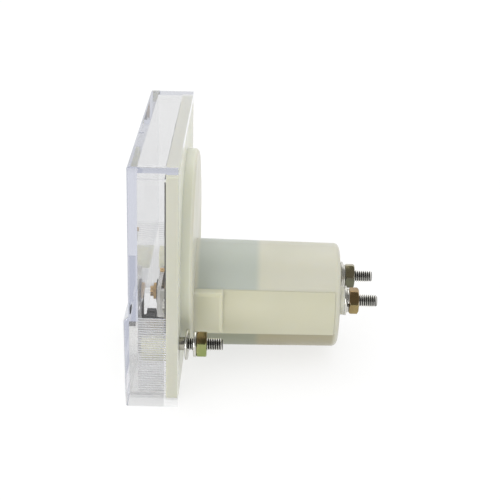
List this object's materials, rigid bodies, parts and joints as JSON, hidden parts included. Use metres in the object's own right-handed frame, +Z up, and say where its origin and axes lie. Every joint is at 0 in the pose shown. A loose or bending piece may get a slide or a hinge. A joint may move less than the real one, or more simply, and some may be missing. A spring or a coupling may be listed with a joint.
{
  "type": "analog panel meter",
  "caption": "Rectangular moving-coil panel meter: clear face, round rear barrel, threaded terminals and mounting studs, turning pointer and zero adjuster.",
  "frame": {"origin": "on the axis of the round spigot, in the plane that meets the panel", "axes": "+Y back through the panel, -Y towards the reader, +Z up, +X to the reader's right"},
  "size_m": [0.064, 0.0575, 0.056],
  "materials": {
    "clear_cover": "clear moulded, polished",
    "cream_moulding": "natural translucent, semi-gloss",
    "dial_paint": "matte white enamel",
    "black_moulding": "fine matte",
    "soft_iron": "dull zinc",
    "magnet_alloy": "ground",
    "cast_spacer": "die cast",
    "plated_strap": "nickel plated",
    "turned_brass": "turned",
    "zinc_screw": "bright zinc",
    "passivated_nut": "yellow-green passivated zinc",
    "bronze_nut": "oxidised brass",
    "enamelled_copper": "enamelled wire",
    "aluminium_foil": "bare",
    "pointer_black": "matte black lacquer",
    "spring_bronze": "bright",
    "resistor_lacquer": "lacquered",
    "sleeve_red": "soft sleeve"
  },
  "bodies": {
    "housing": {"front_cover": "clear_cover", "base_housing": "cream_moulding", "dial_plate": "dial_paint", "dial_screws": "zinc_screw", "pointer_stops": "turned_brass", "return_ring": "soft_iron", "core_magnet": "magnet_alloy", "core_spacers": "cast_spacer", "front_bridge": "plated_strap", "rear_bridge": "plated_strap", "bridge_screws": "zinc_screw", "frame_screws": "zinc_screw", "front_jewel_screw": "turned_brass", "rear_jewel_screw": "turned_brass", "front_lock_nut": "turned_brass", "rear_lock_nut": "turned_brass", "rear_hairspring": "spring_bronze", "anchor_bush": "black_moulding", "rear_spring_anchor": "turned_brass", "series_resistor": "resistor_lacquer", "ground_lead": "sleeve_red", "terminal_lugs": "turned_brass", "terminal_studs": "zinc_screw", "terminal_washers": "zinc_screw", "terminal_lock_washers": "zinc_screw", "terminal_nuts": "bronze_nut", "mounting_studs": "zinc_screw", "mounting_washers": "zinc_screw", "mounting_lock_washers": "zinc_screw", "mounting_nuts": "passivated_nut"},
    "coil_assembly": {"coil_former": "aluminium_foil", "coil_winding": "enamelled_copper", "front_staff": "zinc_screw", "rear_staff": "zinc_screw", "pointer": "pointer_black", "balance_weights": "turned_brass"},
    "zero_lever": {"zero_lever": "black_moulding", "front_spring_arm": "turned_brass", "front_hairspring": "spring_bronze"},
    "zero_adjuster": {"zero_adjust_screw": "black_moulding"}
  },
  "joints": [
    {"name": "pointer_turn", "type": "hinge", "parent": "housing", "child": "coil_assembly", "pos_m": [0, 0, -0.011], "axis": [0, 1, 0], "range_deg": [0, 90], "stiffness_Nm_per_rad": 0.000006, "deforming": ["front_hairspring", "rear_hairspring"]},
    {"name": "zero_screw_turn", "type": "hinge", "parent": "housing", "child": "zero_adjuster", "pos_m": [0, 0, -0.011], "axis": [0, 1, 0], "range_deg": [-12, 12]},
    {"name": "zero_lever_turn", "type": "hinge", "parent": "housing", "child": "zero_lever", "pos_m": [0, 0, -0.011], "axis": [0, 1, 0], "range_deg": [-12, 12]}
  ],
  "couplings": [
    {"joint": "zero_lever_turn", "follows": "zero_screw_turn", "ratio": 1}
  ]
}
